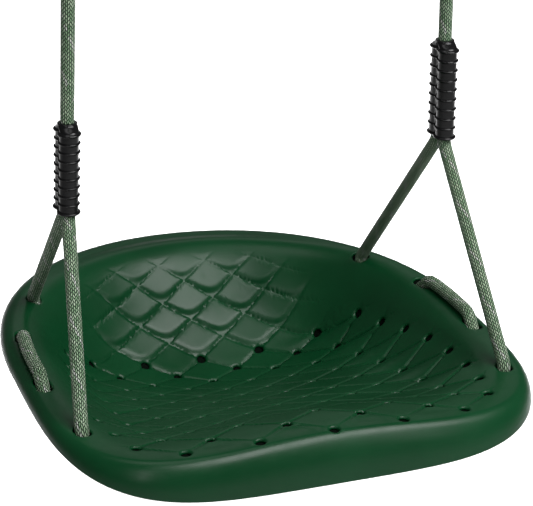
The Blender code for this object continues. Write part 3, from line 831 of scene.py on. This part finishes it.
def bite(rim, s_slot, upward, steps=7):
    """Rope passing through a middle slot, from under the rim to over it or back."""
    points = []
    for i in range(steps + 1):
        t = i / steps
        rise = (1 - math.cos(math.pi * t)) / 2
        if not upward:
            rise = 1 - rise
        points.append(rim.place(s_slot + BITE_LENGTH * (t - 0.5), -UNDER + (OVER + UNDER) * rise))
    return points


def between(rim, s_a, s_b, h, steps):
    return [rim.place(s_a + (s_b - s_a) * i / steps, h) for i in range(1, steps)]


def fillet(a, b, c, radius, steps=4):
    """Arc that rounds the corner at b."""
    u, v = (a - b).normalized(), (c - b).normalized()
    half = math.acos(max(-1.0, min(1.0, u.dot(v)))) / 2
    if math.pi / 2 - half < 0.01:
        return [b]
    tangent = radius / math.tan(half)
    centre = b + (u + v).normalized() * (radius / math.sin(half))
    start = (b + u * tangent - centre).normalized()
    end = (b + v * tangent - centre).normalized()
    return [centre + start.slerp(end, i / steps) * radius for i in range(steps + 1)]


def route(corners, radii, max_step=0.04):
    points = [corners[0]]
    for a, b, c, radius in zip(corners, corners[1:], corners[2:], radii):
        points += fillet(a, b, c, radius) if radius else [b]
    points.append(corners[-1])
    out = [points[0]]
    for a, b in zip(points, points[1:]):
        n = max(1, math.ceil((b - a).length / max_step))
        out += [a.lerp(b, i / n) for i in range(1, n + 1)]
    return out


def lower_rope_points(side, name):
    rim = RimLine(side)
    foot = SLEEVE_BOTTOM[name] - HANG_DROP
    top = foot + SLEEVE_LENGTH[name]
    s1, s2, s3, s4 = rim.slots
    front_edge, back_edge = s1 + SLOT_LENGTH[0] / 2, s4 - SLOT_LENGTH[3] / 2

    def inside(y, z):
        return Vector((sleeve_axis_x(side, name, z), y, z))

    def lean_to(edge):
        corner = rim.place(edge, OVER)
        return math.atan2(Vector((corner.x - inside(0, foot).x, corner.y, 0)).length, foot - corner.z)

    front = turn(rim, front_edge, 1, lean_to(front_edge))
    back = turn(rim, back_edge, -1, lean_to(back_edge))
    head = [inside(0, top - 0.0085), inside(0, top - NECK_LENGTH), inside(-STRAND, top - 0.042),
            inside(-STRAND, foot - 0.006), front[0]]
    tail = [inside(STRAND, top - 0.046), inside(STRAND, foot - 0.006), back[0]]
    half = BITE_LENGTH / 2
    middle = front[1:]
    middle += between(rim, front_edge, s2 - half, -UNDER, 3)
    middle += bite(rim, s2, True)
    middle += between(rim, s2 + half, s3 - half, OVER, 5)
    middle += bite(rim, s3, False)
    middle += between(rim, s3 + half, back_edge, -UNDER, 4)
    middle += back[:0:-1]
    return route(head, [ROPE_BEND] * 3) + middle + route(tail, [ROPE_BEND])[::-1]


def upper_rope_points(side, name):
    top = SLEEVE_BOTTOM[name] - HANG_DROP + SLEEVE_LENGTH[name]
    x = side * HANG_X
    foot = SEIZING_TOP - SEIZING_LENGTH
    centre = Vector((x, 0, -LINK_LENGTH + WIRE_D + EYE_GAP + ROPE_D / 2 - EYE_RADIUS))
    opening = math.radians(EYE_OPENING)
    ring = []
    for i in range(12):
        a = -opening + (math.pi + 2 * opening) * i / 11
        ring.append(centre + Vector((0, EYE_RADIUS * math.cos(a), EYE_RADIUS * math.sin(a))))
    tail = [Vector((x, STRAND, foot + 0.004)), Vector((x, STRAND, SEIZING_TOP - 0.002)), ring[0]]
    stand = [ring[-1], Vector((x, -STRAND, SEIZING_TOP - 0.002)), Vector((x, -STRAND, foot - 0.002)),
             Vector((sleeve_axis_x(side, name, foot - 0.024), 0, foot - 0.024)),
             Vector((sleeve_axis_x(side, name, top), 0, top))]
    return route(tail, [ROPE_BEND]) + ring[1:-1] + route(stand, [ROPE_BEND] * 3)


def resample(points, spacing):
    """Even points along a smoothed polyline."""
    pts = np.array([tuple(p) for p in points])
    for _ in range(2):
        inner = (pts[:-1] * 0.75 + pts[1:] * 0.25, pts[:-1] * 0.25 + pts[1:] * 0.75)
        cut = np.empty((2 * (len(pts) - 1), 3))
        cut[0::2], cut[1::2] = inner
        pts = np.vstack([pts[:1], cut, pts[-1:]])
    lengths = np.concatenate([[0], np.cumsum(np.linalg.norm(np.diff(pts, axis=0), axis=1))])
    at = np.linspace(0, lengths[-1], max(2, round(lengths[-1] / spacing)) + 1)
    return np.stack([np.interp(at, lengths, pts[:, k]) for k in range(3)], axis=1), at


def rope_mesh(name, points, mat, spacing=0.003, sides=28):
    """Round rope along the points, with its angle and length as texture coordinates."""
    path, at = resample(points, spacing)
    tangent = np.gradient(path, axis=0)
    tangent /= np.linalg.norm(tangent, axis=1, keepdims=True)
    side = np.cross(tangent[0], (0.0, 1.0, 0.0))
    if np.linalg.norm(side) < 0.1:
        side = np.cross(tangent[0], (1.0, 0.0, 0.0))
    frames = []
    for t in tangent:
        side = side - t * (side @ t)
        side /= np.linalg.norm(side)
        frames.append((side.copy(), np.cross(t, side)))
    angle = np.arange(sides) * 2 * math.pi / sides
    verts, uvs = [], []
    for p, (e1, e2) in zip(path, frames):
        for a in angle:
            verts.append(p + ROPE_D / 2 * (math.cos(a) * e1 + math.sin(a) * e2))
    rows = len(path)
    faces = []
    for r in range(rows - 1):
        for k in range(sides):
            j = (k + 1) % sides
            faces.append((r * sides + k, r * sides + j, (r + 1) * sides + j, (r + 1) * sides + k))
            uvs.append(((k, r), (k + 1, r), (k + 1, r + 1), (k, r + 1)))
    # rounded ends
    for row, sign in ((0, -1), (rows - 1, 1)):
        base = [row * sides + k for k in range(sides)]
        e1, e2 = frames[row]
        for scale, lift in ((0.86, 0.35), (0.5, 0.62)):
            ring = []
            radius = ROPE_D / 2 * scale
            for a in angle:
                ring.append(len(verts))
                verts.append(path[row] + radius * (math.cos(a) * e1 + math.sin(a) * e2)
                             + sign * tangent[row] * 0.0011 * lift)
            for k in range(sides):
                j = (k + 1) % sides
                quad = (base[k], base[j], ring[j], ring[k])
                faces.append(quad if sign > 0 else quad[::-1])
                uvs.append(((k, row), (k + 1, row), (k + 1, row), (k, row)))
            base = ring
        faces.append(tuple(base) if sign > 0 else tuple(base[::-1]))
        uvs.append(tuple((k, row) for k in range(sides)))
    obj = mesh_object(name, verts, faces, mat, sharp=60.0)
    layer = obj.data.uv_layers.new(name="along")
    for poly, corners in zip(obj.data.polygons, uvs):
        for loop, (k, r) in zip(poly.loop_indices, corners):
            layer.data[loop].uv = (k / sides, at[r])
    return obj, [tuple(p) for p in path[::4]] + [tuple(path[-1])], float(at[-1])


# ---------------------------------------------------------------- sleeves
SLEEVE_HALF_X, SLEEVE_HALF_Y, SLEEVE_MOUTH = 0.0104, 0.0192, 0.0106
SLEEVE_SHOULDER = 0.0085
SLEEVE_BANDS = 9
WAIST_DEPTH, WAIST_HALF_WIDTH = 0.0020, 0.0045
SHOULDER_ROWS, BODY_ROWS = 14, 260
FLAT_POINTS, BEND_POINTS = 10, 26


def bulge(z, centre, half, height):
    """A rib's round profile along the sleeve."""
    d = abs(z - centre) / half
    return height * (1 - d ** 2.0) ** 0.5 if d < 1 else 0.0


def sleeve_outside(top, foot):
    """Rows down the sleeve's outside: height, half widths, depth of the waist."""
    body_top = top - SLEEVE_SHOULDER
    pitch = (body_top - foot - 0.0030) / SLEEVE_BANDS
    rows = [(top, SLEEVE_MOUTH - 0.0010, SLEEVE_MOUTH - 0.0010, 0.0),
            (top - 0.0005, SLEEVE_MOUTH - 0.0002, SLEEVE_MOUTH - 0.0002, 0.0)]
    heights = [*np.linspace(top, body_top, SHOULDER_ROWS), *np.linspace(body_top, foot, BODY_ROWS)[1:]]
    for z in heights[1:]:
        ease = float(smooth(np.array((top - z) / SLEEVE_SHOULDER), 0.10, 1.0))
        extra = 0.0
        for k in range(SLEEVE_BANDS + 1):
            half, height = (0.0017, 0.0024) if k in (0, SLEEVE_BANDS) else (0.0013, 0.0017)
            extra = max(extra, bulge(z, body_top - 0.0016 - pitch * k, half, height))
        rows.append((z, SLEEVE_MOUTH + (SLEEVE_HALF_X - SLEEVE_MOUTH) * ease + extra,
                     SLEEVE_MOUTH + (SLEEVE_HALF_Y - SLEEVE_MOUTH) * ease + extra, ease * WAIST_DEPTH))
    return rows


def sleeve_inside(top, foot):
    """Rows down the bore, which is round at the mouth and wide enough for two strands below."""
    return [(top, 0.0084, 0.0084, 0.0), (top - 0.004, 0.0080, 0.0080, 0.0),
            (top - 0.012, 0.0079, 0.0079, 0.0), (top - 0.040, 0.0079, 0.0156, 0.0),
            (foot + 0.016, 0.0079, 0.0156, 0.0), (foot, 0.0087, 0.0180, 0.0)]


def sleeve_section(half_x, half_y, waist):
    """Stadium with a waist halfway along each of its flat sides."""
    straight = max(0.0, half_y - half_x)
    section = []
    for end in (1, -1):
        for k in range(FLAT_POINTS):
            y = end * straight * (2 * k / FLAT_POINTS - 1)
            section.append((end * (half_x - waist * math.exp(-(y / WAIST_HALF_WIDTH) ** 2)), y))
        for k in range(BEND_POINTS):
            a = math.pi * k / BEND_POINTS
            section.append((end * half_x * math.cos(a), end * (straight + half_x * math.sin(a))))
    return section


def sleeve_mesh(side, name, mat):
    """Ribbed sleeve, moulded over two strands side by side: a waist runs down its faces."""
    foot = SLEEVE_BOTTOM[name] - HANG_DROP
    top = foot + SLEEVE_LENGTH[name]
    stack = sleeve_outside(top, foot) + sleeve_inside(top, foot)[::-1]
    verts, faces = [], []
    for z, half_x, half_y, waist in stack:
        x = sleeve_axis_x(side, name, z)
        verts += [(x + px, py, z) for px, py in sleeve_section(half_x, half_y, waist)]
    count, total = len(verts) // len(stack), len(stack)
    for r in range(total):
        n = (r + 1) % total
        for k in range(count):
            j = (k + 1) % count
            faces.append((r * count + k, r * count + j, n * count + j, n * count + k))
    obj = mesh_object("ribbed_" + name, verts, faces, mat, sharp=50.0)
    bm = bmesh.new()
    bm.from_mesh(obj.data)
    bmesh.ops.recalc_face_normals(bm, faces=bm.faces)
    bm.to_mesh(obj.data)
    bm.free()
    return obj


# ---------------------------------------------------------------- build
def put_material(node, mat):
    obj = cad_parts[node]
    if not obj.data.materials:
        obj.data.materials.append(mat)
    for slot in obj.material_slots:
        slot.material = mat


seat = build_seat(seat_plastic(), painted_hole_shade())
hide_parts("seat_shell")
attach(seat, "seat")

rubber = black_rubber("sleeve_rubber", 0.17, 0.25)
seizing = black_rubber("seizing_rubber", 0.42, 0.55)
coat = black_coat("link_coat")
for side, name in ((-1, "left"), (1, "right")):
    sleeve = sleeve_mesh(side, name, rubber)
    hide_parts("sleeve_" + name)
    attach(sleeve, "seat")
    lower, path, length = rope_mesh("braid_fork_" + name, lower_rope_points(side, name),
                                    rope_weave("rope_fork_weave_" + name, 0.013 * side))
    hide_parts("rope_fork_" + name)
    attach(lower, "seat")
    upper, path, length = rope_mesh("braid_hanger_" + name, upper_rope_points(side, name)[::-1],
                                    rope_weave("rope_hanger_weave_" + name, 0.021 + 0.017 * side))
    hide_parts("rope_hanger_" + name)
    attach(upper, "hangers")
    put_material("eye_seizing_" + name, seizing)
    put_material("link_body_" + name, coat)
    put_material("link_nut_" + name, coat)


# ---------------------------------------------------------------- stage
def floor_material():
    n = Nodes("pale_floor")
    cloud = n.noise(3.0, 4.0, 0.5)
    colour = n.mix(cloud, (0.66, 0.66, 0.66, 1.0), (0.70, 0.70, 0.70, 1.0))
    n.set(Base_Color=colour, Roughness=0.9)
    return n.mat


def area_light(name, place, target, width, height, power):
    data = bpy.data.lights.new(name, "AREA")
    data.shape = "RECTANGLE"
    data.size, data.size_y = width, height
    data.energy = power
    obj = bpy.data.objects.new(name, data)
    direction = Vector(target) - Vector(place)
    obj.matrix_world = Matrix.Translation(place) @ direction.to_track_quat("-Z", "Y").to_matrix().to_4x4()
    bpy.context.scene.collection.objects.link(obj)


GROUND_CORNERS = [(x * GROUND_REACH, y * GROUND_REACH, GROUND_Z)
                  for x, y in ((-1, -1), (1, -1), (1, 1), (-1, 1))]
floor = mesh_object("floor", GROUND_CORNERS, [(0, 1, 2, 3)], floor_material(), sharp=None)

world = bpy.data.worlds.new("studio")
bpy.context.scene.world = world
world.use_nodes = True
world.node_tree.nodes["Background"].inputs["Color"].default_value = (1.0, 1.0, 1.0, 1.0)
world.node_tree.nodes["Background"].inputs["Strength"].default_value = 0.08
bpy.context.scene.view_settings.view_transform = "Standard"

MIDDLE = (0.0, 0.03, -0.62)
SLEEVES = (0.0, 0.0, -0.45)
area_light("key_front", (1.15, -2.0, 2.5), MIDDLE, 3.2, 2.0, 122)
area_light("strip_left", (-1.38, -1.97, 0.5), SLEEVES, 0.14, 1.6, 4.5)
area_light("strip_right", (1.16, -2.10, 0.5), SLEEVES, 0.14, 1.6, 4.5)
area_light("top_soft", (-0.2, 0.3, 2.4), MIDDLE, 1.6, 1.2, 7)
area_light("back_soft", (1.3, 3.5, 1.3), MIDDLE, 2.4, 0.8, 3)
# these two face away from the seat and light only the ground behind it
area_light("floor_wash", (1.3, 1.7, 1.0), (1.5, 5.0, GROUND_Z), 3.0, 1.6, 215)
area_light("floor_near", (0.7, 1.05, -0.25), (0.85, 1.55, -1.11), 2.4, 0.7, 50)

bpy.context.view_layer.update()
